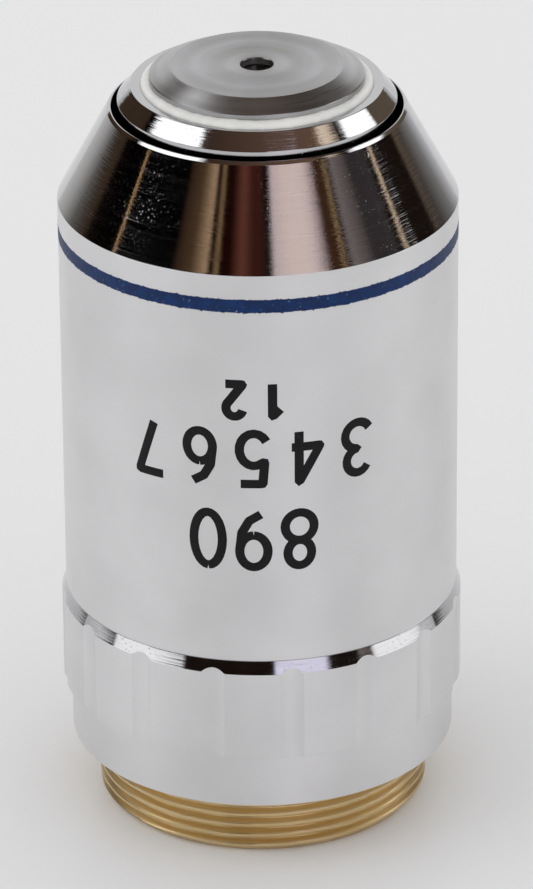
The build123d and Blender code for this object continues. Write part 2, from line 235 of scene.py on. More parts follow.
# %% Matte steel
def matte_steel():
    """Faced steel: mid grey, nearly dull, with faint rings round the light hole."""
    material, tree, shader, place = new_finish("matte_faced_steel", Metallic=1.0, Anisotropic=0.5)
    marks = turning_marks(tree, place, 0.12 * MM, 5 * MM)
    broad = turning_marks(tree, place, 1.1 * MM, 60 * MM, detail=1.0)
    cloud = add_node(tree, "ShaderNodeTexNoise", {"Vector": place, "Scale": 420.0, "Detail": 3.0})
    fine = add_node(tree, MATH, {0: marks, 1: cloud.outputs["Fac"]}, operation="ADD")
    both = add_node(tree, MATH, {0: broad, 1: 2.0, 2: fine.outputs[0]}, operation="MULTIPLY_ADD")
    tone = add_node(
        tree,
        "ShaderNodeMix",
        {0: spread_value(tree, both.outputs[0], 0, 1, 1.5, 2.5), 6: colour("#ABABAA"), 7: colour("#C2C2C6")},
        data_type="RGBA",
    )
    tree.links.new(tone.outputs[2], shader.inputs["Base Color"])
    tree.links.new(spread_value(tree, marks, 0.27, 0.37), shader.inputs["Roughness"])
    brush_round(tree, shader)
    add_bump(tree, shader, marks, 0.001 * MM, 0.6)
    return material


steel_face = matte_steel()
print("made", steel_face.name)

# %% Machined metals of the inside
def machined_metal(name, light, dark, roughness):
    """Turned metal, plain or blackened: two near shades that follow fine tool marks."""
    material, tree, shader, place = new_finish(name, Metallic=1.0)
    marks = turning_marks(tree, place, 0.15 * MM, 6 * MM)
    tone = add_node(
        tree,
        "ShaderNodeMix",
        {0: spread_value(tree, marks, 0, 1), 6: colour(dark), 7: colour(light)},
        data_type="RGBA",
    )
    tree.links.new(tone.outputs[2], shader.inputs["Base Color"])
    tree.links.new(spread_value(tree, marks, roughness - 0.05, roughness + 0.05), shader.inputs["Roughness"])
    add_bump(tree, shader, marks, 0.001 * MM, 0.6)
    return material


brass = machined_metal("bare_brass", "#E6D0A6", "#D6B983", 0.36)
steel = machined_metal("plain_steel", "#B4B4B6", "#9C9CA0", 0.3)
spring_steel = machined_metal("ground_spring_steel", "#8E8E92", "#77777C", 0.32)
blackened = machined_metal("blackened_brass", "#2A2A2C", "#1A1A1C", 0.5)
print("made", brass.name, steel.name, spring_steel.name, blackened.name)

# %% Enamel, figure paint and sealant
def enamel(name, deep, pale, fleck, roughness, grain):
    """Baked paint: one deep colour, slightly uneven, with a soft gloss and a few pale flecks."""
    material, tree, shader, place = new_finish(name, Specular_IOR_Level=0.25)
    cloud = add_node(tree, "ShaderNodeTexNoise", {"Vector": place, "Scale": grain, "Detail": 4.0})
    tone = add_node(
        tree,
        "ShaderNodeMix",
        {0: spread_value(tree, cloud.outputs["Fac"], 0, 1), 6: colour(deep), 7: colour(pale)},
        data_type="RGBA",
    )
    grains = add_node(tree, "ShaderNodeTexNoise", {"Vector": place, "Scale": 6500.0, "Detail": 1.0})
    flecked = add_node(
        tree,
        "ShaderNodeMix",
        {0: spread_value(tree, grains.outputs["Fac"], 0, 1, 0.7, 0.8), 6: tone.outputs[2], 7: colour(fleck)},
        data_type="RGBA",
    )
    tree.links.new(flecked.outputs[2], shader.inputs["Base Color"])
    shader.inputs["Roughness"].default_value = roughness
    add_bump(tree, shader, cloud.outputs["Fac"], 0.01 * MM, 0.5)
    return material


blue_enamel = enamel("blue_ring_enamel", "#00204C", "#002F68", "#7F93B0", 0.45, 1800.0)
black_paint = enamel("black_figure_paint", "#060507", "#0F0D0F", "#2A282A", 0.5, 1500.0)
sealing_resin = enamel("white_sealing_resin", "#DDDDDA", "#ECEBE8", "#F4F4F2", 0.25, 900.0)
print("made", blue_enamel.name, black_paint.name, sealing_resin.name)

# %% Optical glass
def optical_glass():
    """Polished, coated glass: clear, with a faint tint that wavers with noise."""
    material, tree, shader, place = new_finish(
        "optical_glass", Transmission_Weight=1.0, IOR=1.52, Roughness=0.0
    )
    haze = add_node(tree, "ShaderNodeTexNoise", {"Vector": place, "Scale": 300.0})
    tone = add_node(
        tree,
        "ShaderNodeMix",
        {0: haze.outputs["Fac"], 6: colour("#E8F2F0"), 7: colour("#F4F6FA")},
        data_type="RGBA",
    )
    tree.links.new(tone.outputs[2], shader.inputs["Base Color"])
    return material


glass = optical_glass()
print("made", glass.name)

# %% [markdown]
# ## Dress the frame
# Every CAD node names the slot of its metal. The nodes that nobody replaces below keep their
# shape and get the finish of that slot, the inner ones too, because the nose can be looked into
# from behind and each mesh is kept by itself.

# %% Finishes of the CAD nodes
finishes = {
    "satin_chrome": satin,
    "bright_chrome": mirror,
    "blue_paint": blue_enamel,
    "steel": steel,
    "matte_steel": steel_face,
    "spring_steel": spring_steel,
    "sleeve_brass": brass,
    "cell_brass": blackened,
    "black_metal": blackened,
    "white_sealant": sealing_resin,
    "glass": glass,
}
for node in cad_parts.values():
    for number, old in enumerate(node.data.materials):
        node.data.materials[number] = finishes[old.name.split(".")[0]]
print("dressed", len(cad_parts), "nodes")

# %% [markdown]
# ## The lathe
# Nearly every outer piece is turned, so a helper spins a half section into a closed mesh. The CAD
# node gives the section: on a turned piece its vertices lie on the circles of the section's
# corners. A real turned corner is never sharp, so each one gets a small arc, and short guard
# rows beside the arc keep the flat faces flat in the light.

# %% Read a turned node's section
def section_of(node):
    """The corners of a turned node's half section, each (radius, height), in order."""
    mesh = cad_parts[node].data
    corners, spots = [], []
    for vertex in mesh.vertices:
        point = (math.hypot(vertex.co.x, vertex.co.y), vertex.co.z)
        spot = next((n for n, corner in enumerate(corners) if math.dist(corner, point) < 0.005 * MM), None)
        if spot is None:
            spot = len(corners)
            corners.append(point)
        spots.append(spot)
    links = [set() for corner in corners]
    for edge in mesh.edges:
        first, last = (spots[number] for number in edge.vertices)
        if first != last:
            links[first].add(last)
            links[last].add(first)
    path = [max(range(len(corners)), key=lambda spot: corners[spot])]
    while True:
        here = corners[path[-1]]
        onward = [spot for spot in links[path[-1]] if spot not in path]
        if not onward:
            break
        path.append(min(onward, key=lambda spot: math.dist(corners[spot], here)))
    return without_middles([corners[spot] for spot in path])


def without_middles(points):
    """A closed outline without the points that lie on the straight between their neighbours."""
    kept = []
    for number, point in enumerate(points):
        before, after = points[number - 1], points[(number + 1) % len(points)]
        run = math.dist(before, after)
        across = (after[0] - before[0]) * (point[1] - before[1])
        along = (after[1] - before[1]) * (point[0] - before[0])
        if abs(across - along) > 0.002 * MM * run:
            kept.append(point)
    return kept


print("sections are read from the frame")

# %% Spin a section into a closed mesh
def rounded(outline, radius, steps=4):
    """A closed outline whose corners are arcs, with guard points beside each arc."""
    points = []
    for number, spot in enumerate(outline):
        corner = Vector(spot)
        sides = [Vector(outline[number - 1]) - corner, Vector(outline[(number + 1) % len(outline)]) - corner]
        half = sides[0].angle(sides[1]) / 2
        reach = min(radius / math.tan(half), 0.3 * min(side.length for side in sides))
        arms = [side.normalized() for side in sides]
        centre = corner + (arms[0] + arms[1]).normalized() * reach / math.cos(half)
        spokes = [corner + arm * reach - centre for arm in arms]
        points.append(corner + arms[0] * reach * 1.5)
        for step in range(steps + 1):
            spoke = spokes[0].lerp(spokes[1], step / steps).normalized() * spokes[0].length
            points.append(centre + spoke)
        points.append(corner + arms[1] * reach * 1.5)
    return points


def mesh_object(name, vertices, faces, finishes_used):
    """A smooth closed mesh with its faces turned outwards."""
    mesh = bpy.data.meshes.new(name)
    mesh.from_pydata(vertices, [], faces)
    for finish in finishes_used:
        mesh.materials.append(finish)
    shell = bmesh.new()
    shell.from_mesh(mesh)
    bmesh.ops.recalc_face_normals(shell, faces=shell.faces)
    shell.to_mesh(mesh)
    shell.free()
    piece = new_object(name, mesh)
    soften(piece)
    return piece


def soften(piece):
    """Smooth shading, with a crease only where the form has a real edge."""
    piece.data.shade_smooth()
    piece.data.set_sharp_from_angle(angle=math.radians(35))


def lathe(name, outline, columns, finishes_used, choose=None):
    """Spins a closed outline of (radius, height) about Z. Choose picks a face's finish."""
    turns = [2 * math.pi * column / columns for column in range(columns)]
    vertices = [(r * math.cos(turn), r * math.sin(turn), z) for turn in turns for r, z in outline]
    rows = len(outline)
    faces = [
        (
            column * rows + row,
            column * rows + (row + 1) % rows,
            (column + 1) % columns * rows + (row + 1) % rows,
            (column + 1) % columns * rows + row,
        )
        for column in range(columns)
        for row in range(rows)
    ]
    piece = mesh_object(name, vertices, faces, finishes_used)
    if choose:
        for face in piece.data.polygons:
            face.material_index = choose(math.hypot(face.center.x, face.center.y), face.center.z)
    return piece


def settle(piece, body, slot, *nodes):
    """Rides the piece on its body and lets it stand for CAD nodes."""
    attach(piece, body)
    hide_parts(*nodes)
    print(piece.name, len(piece.data.vertices), "vertices")


fine_columns = 384
broken_edge = 0.07 * MM
print("lathe ready")

# %% [markdown]
# ## Outer shell
# One turned piece makes the barrel and the cone. The barrel is satin down to the grip and the cone
# is polished, so one mesh carries two finishes, changed at the cone's foot. Its bore is given the
# blackened finish as painted shade: that dark colour draws the dark gap round the nose.

# %% Outer shell
shell_section = section_of("outer_shell")
barrel_radius = max(radius for radius, height in shell_section)
cone_foot = max(height for radius, height in shell_section if radius > barrel_radius - 0.01 * MM)
shell_bottom, shell_top = (corner.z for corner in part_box("outer_shell"))
rim_bore = min(radius for radius, height in shell_section)
bottom_radii = [radius for radius, height in shell_section if height == shell_bottom]
shell_bore = max(radius for radius in bottom_radii if radius < 0.95 * barrel_radius)


def shell_finish(radius, height):
    """0 is the satin barrel, 1 the polished cone and rim, 2 the bore, blackened as painted shade for the gap
    round the nose.
    """
    # The bore faces take the blackened finish, painted shade for the dark gap round the nose
    inside = radius < rim_bore + 0.01 * MM or radius < shell_bore + 0.01 * MM and height < cone_foot
    if inside and height < shell_top - 0.1 * MM:
        return 2
    return 1 if height > cone_foot else 0


outer_shell = lathe(
    "turned_outer_shell",
    rounded(shell_section, broken_edge),
    fine_columns,
    [satin, mirror, blackened],
    shell_finish,
)
settle(outer_shell, "housing", "bright_chrome", "outer_shell")

# %% [markdown]
# ## Colour ring
# Enamel was run into the turned groove and wiped off the metal, so it lies flush and its edges
# are ragged where the cloth dragged it. A lathed ring, a hair proud of the barrel, has its edge rows
# moved outwards by noise that repeats round the axis.

# %% Colour ring
def ragged(angle, seed, counts=(37, 61, 113, 171, 239, 331, 457, 587)):
    """A wavering between -1 and 1 that closes after a full turn."""
    draw = np.random.default_rng(seed)
    waves = [(count, draw.uniform(0, 2 * math.pi)) for count in counts]
    return sum(math.sin(count * angle + phase) for count, phase in waves) / len(waves)


ring_low, ring_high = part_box("colour_ring")
paint_waver = 0.13 * MM
paint_film = 0.008 * MM
film_edge = 0.02 * MM
film_back = ring_high.x - 0.1 * MM
ring_columns = 2160
ring_section = [
    (film_back, ring_low.z + film_edge),
    (barrel_radius - paint_film, ring_low.z),
    (barrel_radius + paint_film, ring_low.z + film_edge),
    (barrel_radius + paint_film, ring_high.z - film_edge),
    (barrel_radius - paint_film, ring_high.z),
    (film_back, ring_high.z - film_edge),
]
colour_ring = lathe("enamel_colour_ring", ring_section, ring_columns, [blue_enamel])
for vertex in colour_ring.data.vertices:
    if math.hypot(vertex.co.x, vertex.co.y) > (film_back + ring_high.x) / 2:
        upper = vertex.co.z > (ring_low.z + ring_high.z) / 2
        wave = 0.3 + ragged(math.atan2(vertex.co.y, vertex.co.x), 4 if upper else 9)
        vertex.co.z += paint_waver * max(0.0, wave) * (1 if upper else -1)
settle(colour_ring, "housing", "blue_paint", "colour_ring")

# %% [markdown]
# ## Nose
# The nose ring is a cap with a flat land and a mirror bevel. Inside it a bead of white resin
# seals the front cell, a steel disc with the light hole. The three are spun from their sections.
# The bead was laid by hand. It climbs the cell's side, and at the front it has crept over the land,
# so its outer edge is moved out there and its crown rises and sinks a little on its way round.

# %% Nose ring and front cell
nose_ring = lathe(
    "bevelled_nose_ring", rounded(section_of("nose_ring"), broken_edge), fine_columns, [bevel_mirror]
)
settle(nose_ring, "lens_unit", "bright_chrome", "nose_ring")

front_cell = lathe(
    "steel_front_cell", rounded(section_of("front_cell"), broken_edge), fine_columns, [steel_face]
)
settle(front_cell, "lens_unit", "matte_steel", "front_cell")

# %% Sealing bead
bead_low, bead_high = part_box("sealant_ring")
cell_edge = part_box("front_cell")[1].x
land_radius = min(radius for radius, height in section_of("nose_ring"))
land_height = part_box("nose_ring")[1].z
bead_rows = 13
bead_creep = 0.32 * MM
creep_angle = 0.75
bead_overlap = 0.02 * MM
bead_lift = 0.012 * MM
bead_waver = 0.05 * MM
bead_section = [(cell_edge, bead_low.z), (land_radius, bead_low.z)]
for row in range(bead_rows):
    arc = math.pi / 2 * row / (bead_rows - 1)
    bead_section.append(
        (
            cell_edge + (land_radius - cell_edge) * math.cos(arc) ** 0.8,
            land_height + (bead_high.z - land_height) * math.sin(arc),
        )
    )
sealing_bead = lathe("sealing_bead", bead_section, fine_columns, [sealing_resin])
for vertex in sealing_bead.data.vertices:
    if vertex.co.z > land_height - 0.01 * MM:
        way = math.atan2(vertex.co.x, -vertex.co.y)
        out = (math.hypot(vertex.co.x, vertex.co.y) - cell_edge) / (land_radius - cell_edge)
        waver = ragged(way, 21, (5, 9, 14, 23, 37, 53))
        reach = bead_creep * math.exp(-(way / creep_angle) ** 2) * (1 + 0.3 * waver) + bead_overlap
        vertex.co.z += bead_lift + bead_waver * waver * (1 - out)
        vertex.co.xy *= 1 + out * reach / land_radius
settle(sealing_bead, "lens_unit", "white_sealant", "sealant_ring")

# %% [markdown]
# ## Geometry Nodes: a rule on a turned blank
# The grip's flutes and the thread were both cut into a turned blank, and each follows a simple rule
# of angle, radius and height. So the blank is spun first, and a node tree then moves its skin
# to where the tool has been. The result is made a plain mesh and the modifier goes away.

# %% Run a tree on a blank
def new_rule(name, sizes):
    """An empty Geometry Nodes tree with named inputs, its input node and the end of its chain."""
    tree = bpy.data.node_groups.new(name, "GeometryNodeTree")
    tree.interface.new_socket("Geometry", in_out="INPUT", socket_type="NodeSocketGeometry")
    tree.interface.new_socket("Finish", in_out="INPUT", socket_type="NodeSocketMaterial")
    for size in sizes:
        tree.interface.new_socket(size, in_out="INPUT", socket_type="NodeSocketFloat")
    tree.interface.new_socket("Geometry", in_out="OUTPUT", socket_type="NodeSocketGeometry")
    return tree, add_node(tree, "NodeGroupInput").outputs


def end_rule(tree, given, geometry, compass, radius, height):
    """Sets each point at a radius in a flat direction and at a height, and ends the tree."""
    level = add_node(tree, VECTOR, {0: compass, "Scale": radius}, operation="SCALE").outputs[0]
    rise = add_node(tree, "ShaderNodeCombineXYZ", {2: height}).outputs[0]
    target = add_node(tree, VECTOR, {0: level, 1: rise}, operation="ADD").outputs[0]
    moved = add_node(tree, "GeometryNodeSetPosition", {0: geometry, "Position": target}).outputs[0]
    real = add_node(tree, "GeometryNodeRealizeInstances", {0: moved}).outputs[0]
    done = add_node(tree, "GeometryNodeSetMaterial", {0: real, "Material": given["Finish"]}).outputs[0]
    add_node(tree, "NodeGroupOutput", {0: done})


def run_rule(blank, tree, finish, sizes):
    """Runs a tree on an object and returns a new object with the result as a plain mesh."""
    modifier = blank.modifiers.new(tree.name, "NODES")
    modifier.node_group = tree
    for item in tree.interface.items_tree:
        if item.in_out == "INPUT" and item.name in sizes:
            modifier[item.identifier] = sizes[item.name]
        if item.in_out == "INPUT" and item.name == "Finish":
            modifier[item.identifier] = finish
    ready = blank.evaluated_get(bpy.context.evaluated_depsgraph_get())
    mesh = bpy.data.meshes.new_from_object(ready)
    piece = new_object(tree.name, mesh)
    bpy.data.objects.remove(blank)
    soften(piece)
    return piece


print("rules can run")

# %% [markdown]
# ## Fluted grip
# Sixteen shallow flutes were milled into the grip with a wide round cutter that ran parallel to the
# axis, so a flute is a part of a cylinder, and it ends in a low arch where it runs out through the
# polished chamfer. Columns of the blank slide towards the flutes' edges and sink to the cutter's
# surface, and the chamfer's foot is lifted to where the cutter leaves it. The edges stay crisp.

# %% The flute rule
def flute_rule():
    """Moves the skin of a turned blank in to the surface of evenly spaced cutters."""
    cutter_sizes = ("Flutes", "Phase", "Half width", "Cutter radius", "Cutter distance", "Edge rounding")
    grip_sizes = ("Grip radius", "Wall radius", "Grip foot", "Chamfer foot", "Grip top", "Chamfer slope")
    tree, given = new_rule("fluted_blank", cutter_sizes + grip_sizes)
    part, flat, radius = about_axis(tree, add_node(tree, "GeometryNodeInputPosition").outputs[0])
    angle = add_node(tree, MATH, {0: part[1], 1: part[0]}, operation="ARCTAN2").outputs[0]
    # Share of a pitch from the nearest flute's middle, and its side
    pitch = add_node(tree, MATH, {0: 2 * math.pi, 1: given["Flutes"]}, operation="DIVIDE").outputs[0]
    turned = add_node(tree, MATH, {0: angle, 1: given["Phase"]}, operation="SUBTRACT").outputs[0]
    cell = add_node(tree, MATH, {0: turned, 1: pitch}, operation="DIVIDE").outputs[0]
    nearest = add_node(tree, MATH, {0: cell}, operation="ROUND").outputs[0]
    share = add_node(tree, MATH, {0: cell, 1: nearest}, operation="SUBTRACT").outputs[0]
    side = add_node(tree, MATH, {0: share}, operation="SIGN").outputs[0]
    away = add_node(tree, MATH, {0: share}, operation="ABSOLUTE").outputs[0]
    # Columns crowd towards the flute's edge from both sides
    squares = {"operation": "MULTIPLY"}
    far = given["Cutter distance"]
    half = given["Half width"]
    tool_square = add_node(
        tree, MATH, {0: given["Cutter radius"], 1: given["Cutter radius"]}, **squares
    ).outputs[0]
    inner = add_node(tree, MAP_RANGE, {0: away, 1: 0.0, 2: 0.25, 3: 1.0, 4: 0.0}).outputs[0]
    inner_square = add_node(tree, MATH, {0: inner, 1: inner}, **squares).outputs[0]
    within = add_node(tree, MATH, {0: 1.0, 1: inner_square}, operation="SUBTRACT").outputs[0]
    outer = add_node(tree, MAP_RANGE, {0: away, 1: 0.25, 2: 0.5, 3: 0.0, 4: 1.0}).outputs[0]
    outer_square = add_node(tree, MATH, {0: outer, 1: outer}, **squares).outputs[0]
    half_pitch = add_node(tree, MATH, {0: pitch, 1: 0.5}, **squares).outputs[0]
    land = add_node(tree, MATH, {0: half_pitch, 1: half}, operation="SUBTRACT").outputs[0]
    on_land = add_node(tree, MATH, {0: land, 1: outer_square}, **squares).outputs[0]
    new_away = add_node(tree, MATH, {0: half, 1: within, 2: on_land}, operation="MULTIPLY_ADD").outputs[0]
    # The cutter's near side at that angle
    sine = add_node(tree, MATH, {0: new_away}, operation="SINE").outputs[0]
    cosine = add_node(tree, MATH, {0: new_away}, operation="COSINE").outputs[0]
    offset = add_node(tree, MATH, {0: far, 1: sine}, **squares).outputs[0]
    offset_square = add_node(tree, MATH, {0: offset, 1: offset}, **squares).outputs[0]
    left = add_node(tree, MATH, {0: tool_square, 1: offset_square}, operation="SUBTRACT").outputs[0]
    kept = add_node(tree, MATH, {0: left, 1: 0.0}, operation="MAXIMUM").outputs[0]
    chord = add_node(tree, MATH, {0: kept}, operation="SQRT").outputs[0]
    forward = add_node(tree, MATH, {0: far, 1: cosine}, **squares).outputs[0]
    cut = add_node(tree, MATH, {0: forward, 1: chord}, operation="SUBTRACT").outputs[0]
    skin = add_node(
        tree,
        MATH,
        {0: given["Grip radius"], 1: cut, 2: given["Edge rounding"]},
        operation="SMOOTH_MIN",
    ).outputs[0]
    depth = add_node(tree, MATH, {0: given["Grip radius"], 1: skin}, operation="SUBTRACT").outputs[0]
    # The chamfer's foot rises to where the cutter leaves the chamfer, and less so away from it
    up_wall = add_node(
        tree, MAP_RANGE, {0: part[2], 1: given["Grip foot"], 2: given["Chamfer foot"], 3: 0.0, 4: 1.0}
    ).outputs[0]
    up_chamfer = add_node(
        tree, MAP_RANGE, {0: part[2], 1: given["Chamfer foot"], 2: given["Grip top"], 3: 1.0, 4: 0.0}
    ).outputs[0]
    on_wall = add_node(
        tree, MATH, {0: radius, 1: given["Wall radius"]}, operation="GREATER_THAN"
    ).outputs[0]
    nearness = add_node(tree, MATH, {0: up_wall, 1: up_chamfer}, operation="MINIMUM").outputs[0]
    weight = add_node(tree, MATH, {0: nearness, 1: on_wall}, **squares).outputs[0]
    run_out = add_node(tree, MATH, {0: depth, 1: given["Chamfer slope"]}, operation="DIVIDE").outputs[0]
    lift = add_node(tree, MATH, {0: run_out, 1: weight}, **squares).outputs[0]
    new_height = add_node(tree, MATH, {0: part[2], 1: lift}, operation="ADD").outputs[0]
    on_chamfer = add_node(
        tree, MATH, {0: part[2], 1: given["Chamfer foot"]}, operation="GREATER_THAN"
    ).outputs[0]
    drawn_in = add_node(tree, MATH, {0: lift, 1: given["Chamfer slope"]}, **squares).outputs[0]
    taken = add_node(tree, MATH, {0: drawn_in, 1: on_chamfer}, **squares).outputs[0]
    turned_skin = add_node(tree, MATH, {0: radius, 1: taken}, operation="SUBTRACT").outputs[0]
    new_radius = add_node(tree, MATH, {0: turned_skin, 1: skin}, operation="MINIMUM").outputs[0]
    # Back to a position
    middle = add_node(
        tree, MATH, {0: nearest, 1: pitch, 2: given["Phase"]}, operation="MULTIPLY_ADD"
    ).outputs[0]
    new_angle = add_node(tree, MATH, {0: side, 1: new_away, 2: middle}, operation="MULTIPLY_ADD").outputs[0]
    new_sine = add_node(tree, MATH, {0: new_angle}, operation="SINE").outputs[0]
    new_cosine = add_node(tree, MATH, {0: new_angle}, operation="COSINE").outputs[0]
    compass = add_node(tree, "ShaderNodeCombineXYZ", {0: new_cosine, 1: new_sine}).outputs[0]
    end_rule(tree, given, given["Geometry"], compass, new_radius, new_height)
    return tree


print("flute rule ready")

# %% Mount body
seat_gap = 0.02 * MM
grip_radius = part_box("mount_body")[1].x
plain_radius = grip_radius - 0.5 * MM
plain_top = 3.5 * MM
grip_top = shell_bottom
chamfer_height = 0.78 * MM
chamfer_foot = grip_top - chamfer_height
chamfer_end = barrel_radius - 0.06 * MM
chamfer_slope = (grip_radius - chamfer_end) / chamfer_height
spigot_radius = shell_bore - seat_gap
spigot_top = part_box("mount_body")[1].z
recess_radius = 8.7 * MM
web_bottom = 2.5 * MM
web_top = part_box("parfocal_ring")[0].z
web_bore = 7.9 * MM
sleeve_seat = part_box("guide_sleeve")[1].x + seat_gap
flute_count = 16
flute_cutter = 2.4 * MM
flute_depth = 0.13 * MM
cutter_distance = grip_radius - flute_depth + flute_cutter
flute_half = math.acos(
    (cutter_distance**2 + grip_radius**2 - flute_cutter**2) / (2 * cutter_distance * grip_radius)
)
flute_phase = math.radians(8.5 - 90)
columns_per_flute = 40
grip_edge = 0.04 * MM
flute_edge = 0.02 * MM

body_section = [
    (recess_radius, 0),
    (plain_radius, 0),
    (plain_radius, plain_top),
    (grip_radius, plain_top),
    (grip_radius, chamfer_foot),
    (chamfer_end, grip_top),
    (spigot_radius, grip_top),
    (spigot_radius, spigot_top),
    (sleeve_seat, spigot_top),
    (sleeve_seat, web_top),
    (web_bore, web_top),
    (web_bore, web_bottom),
    (recess_radius, web_bottom),
]


def grip_finish(radius, height):
    """0 is satin, 1 the polished chamfer."""
    return int(radius > barrel_radius - 0.1 * MM and chamfer_foot < height < grip_top)


grip_columns = flute_count * columns_per_flute
blank = lathe("mount_blank", rounded(body_section, grip_edge), grip_columns, [satin], grip_finish)
finish_of_face = [face.material_index for face in blank.data.polygons]
fluted_blank = run_rule(
    blank,
    flute_rule(),
    satin,
    {
        "Flutes": float(flute_count),
        "Phase": flute_phase,
        "Half width": flute_half,
        "Cutter radius": flute_cutter,
        "Cutter distance": cutter_distance,
        "Edge rounding": flute_edge,
        "Grip radius": grip_radius,
        "Wall radius": barrel_radius - 0.15 * MM,
        "Grip foot": plain_top,
        "Chamfer foot": chamfer_foot,
        "Grip top": grip_top,
        "Chamfer slope": chamfer_slope,
    },
)
fluted_blank.data.materials.append(bevel_mirror)
fluted_blank.data.polygons.foreach_set("material_index", finish_of_face)
print("fluted", flute_count, "times, each", round(2 * math.degrees(flute_half), 1), "degrees wide")

# %% [markdown]
# Three grub screws lock the sleeve inside the spigot. Their holes are drilled with a Boolean, as they
# were on the real piece, and the result is kept as a plain mesh.

# %% Screw holes in the spigot
screw_low, screw_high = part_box("sleeve_lock_screws")
screw_count = 3
screw_phase = 30
hole_radius = 0.72 * MM
drills = bmesh.new()
for number in range(screw_count):
    turned = Matrix.Rotation(math.radians(screw_phase + 360 / screw_count * number), 4, "Z")
    placed = turned @ Matrix.Translation((shell_bore, 0, (screw_low.z + screw_high.z) / 2))
    bmesh.ops.create_cone(
        drills,
        cap_ends=True,
        segments=32,
        radius1=hole_radius,
        radius2=hole_radius,
        depth=2 * (shell_bore - web_bore),
        matrix=placed @ Matrix.Rotation(math.pi / 2, 4, "Y"),
    )
drill_mesh = bpy.data.meshes.new("drills")
drills.to_mesh(drill_mesh)
drills.free()
drill_mesh.materials.append(satin)
drill = new_object("drills", drill_mesh)
cut = fluted_blank.modifiers.new("screw_holes", "BOOLEAN")
cut.object = drill
cut.solver = "EXACT"
drilled = fluted_blank.evaluated_get(bpy.context.evaluated_depsgraph_get())
mount_body = new_object("fluted_mount_body", bpy.data.meshes.new_from_object(drilled))
bpy.data.objects.remove(fluted_blank)
bpy.data.objects.remove(drill)
soften(mount_body)
settle(mount_body, "housing", "satin_chrome", "mount_body")

# %% [markdown]
# ## Brass thread
# The thread is bare brass: thirty-six threads to the inch, rounded at crest and root, with a run-out
# groove under the shoulder. Its rule sinks a fine tube to a wave that climbs one pitch in each turn.

# %% The thread rule
def thread_rule():
    """Sinks the outer wall of a tube to a helical wave under the crest radius."""
    tree, given = new_rule("brass_thread", ("Pitch", "Crest radius", "Depth", "Groove height"))
    part, flat, radius = about_axis(tree, add_node(tree, "GeometryNodeInputPosition").outputs[0])
    compass = add_node(tree, VECTOR, {0: flat}, operation="NORMALIZE").outputs[0]
    angle = add_node(tree, MATH, {0: part[1], 1: part[0]}, operation="ARCTAN2").outputs[0]
    turn = add_node(tree, MATH, {0: angle, 1: 2 * math.pi}, operation="DIVIDE").outputs[0]
    climb = add_node(tree, MATH, {0: part[2], 1: given["Pitch"]}, operation="DIVIDE").outputs[0]
    phase = add_node(tree, MATH, {0: climb, 1: turn}, operation="SUBTRACT").outputs[0]
    wave = add_node(tree, MATH, {0: phase, 1: 0.5}, operation="PINGPONG").outputs[0]
    sunk = add_node(
        tree, MAP_RANGE, {0: wave, 1: 0.10, 2: 0.46, 3: 0.0, 4: 1.0}, interpolation_type="SMOOTHSTEP"
    ).outputs[0]
    groove = add_node(
        tree,
        MAP_RANGE,
        {0: part[2], 1: given["Groove height"], 2: 0.0, 3: 0.0, 4: 1.0},
        interpolation_type="SMOOTHSTEP",
    ).outputs[0]
    share = add_node(tree, MATH, {0: sunk, 1: groove}, operation="MAXIMUM").outputs[0]
    depth = add_node(tree, MATH, {0: share, 1: given["Depth"]}, operation="MULTIPLY").outputs[0]
    skin = add_node(tree, MATH, {0: given["Crest radius"], 1: depth}, operation="SUBTRACT").outputs[0]
    new_radius = add_node(tree, MATH, {0: radius, 1: skin}, operation="MINIMUM").outputs[0]
    end_rule(tree, given, given["Geometry"], compass, new_radius, part[2])
    return tree


print("thread rule ready")

# %% Brass thread
thread_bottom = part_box("mount_body")[0].z
crest_radius = 10.13 * MM
end_chamfer = 0.46 * MM
thread_pitch = 25.4 * MM / 36
thread_depth = 0.36 * MM
groove_height = -0.45 * MM
thread_columns = 320
rows_per_pitch = 16
thread_rows = round((-thread_bottom - end_chamfer) / thread_pitch * rows_per_pitch)
thread_section = [
    (recess_radius, 0),
    (recess_radius, thread_bottom),
    (crest_radius - end_chamfer, thread_bottom),
]
for row in range(thread_rows + 1):
    height = (thread_bottom + end_chamfer) * (1 - row / thread_rows)
    thread_section.append((crest_radius, height))
thread_sizes = {
    "Pitch": thread_pitch,
    "Crest radius": crest_radius,
    "Depth": thread_depth,
    "Groove height": groove_height,
}
blank = lathe("thread_blank", thread_section, thread_columns, [brass])
brass_thread = run_rule(blank, thread_rule(), brass, thread_sizes)
settle(brass_thread, "housing", "sleeve_brass", "mount_body")

# %% [markdown]
# ## Figures
# The real barrel is engraved and filled with black paint, and is read with the objective hanging
# nose down. Nothing is copied here: plain counting numbers stand in the same places. Each figure
# is a few strokes. A rule sweeps a round pen along them, wraps them on the barrel and flattens them.

